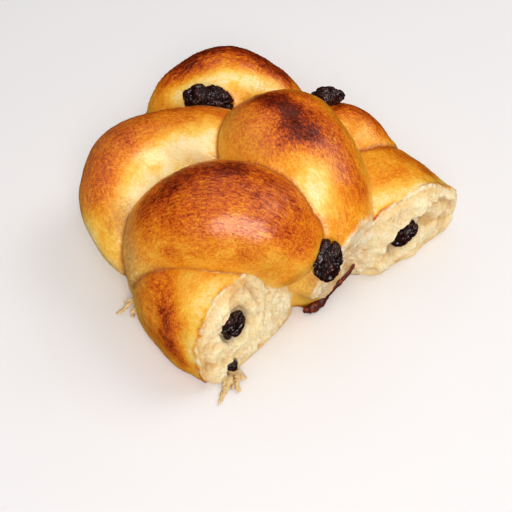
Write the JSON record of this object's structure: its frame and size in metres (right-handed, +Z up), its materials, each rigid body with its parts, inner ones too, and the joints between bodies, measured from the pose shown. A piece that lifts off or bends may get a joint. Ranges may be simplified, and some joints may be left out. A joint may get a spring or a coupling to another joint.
{
  "type": "braided loaf",
  "caption": "Torn end of a braided raisin loaf: fat glazed strands cross over each other, two ends show open crumb, and raisins sit in the grooves and crumb.",
  "frame": {"origin": "centre of the loaf's box, on the flat underside that it was baked on", "axes": "+Z up out of the flat underside; +Y towards the rounded end of the braid; the two torn ends face +X -Y"},
  "size_m": [0.1384, 0.1362, 0.0591],
  "materials": {
    "bread": "egg-glazed golden to brown crust, pale open crumb at the torn ends, dull dark underside",
    "raisin": "wrinkled dark brown skin with a soft sticky gloss"
  },
  "bodies": {
    "root": {"loaf": "bread", "raisin_back_groove": "raisin", "raisin_rear_right": "raisin", "raisin_front_groove": "raisin", "raisin_front_crumb": "raisin", "raisin_right_crumb": "raisin", "raisin_front_base": "raisin", "raisin_back_outer": "raisin", "raisin_rear_groove": "raisin"}
  },
  "joints": []
}
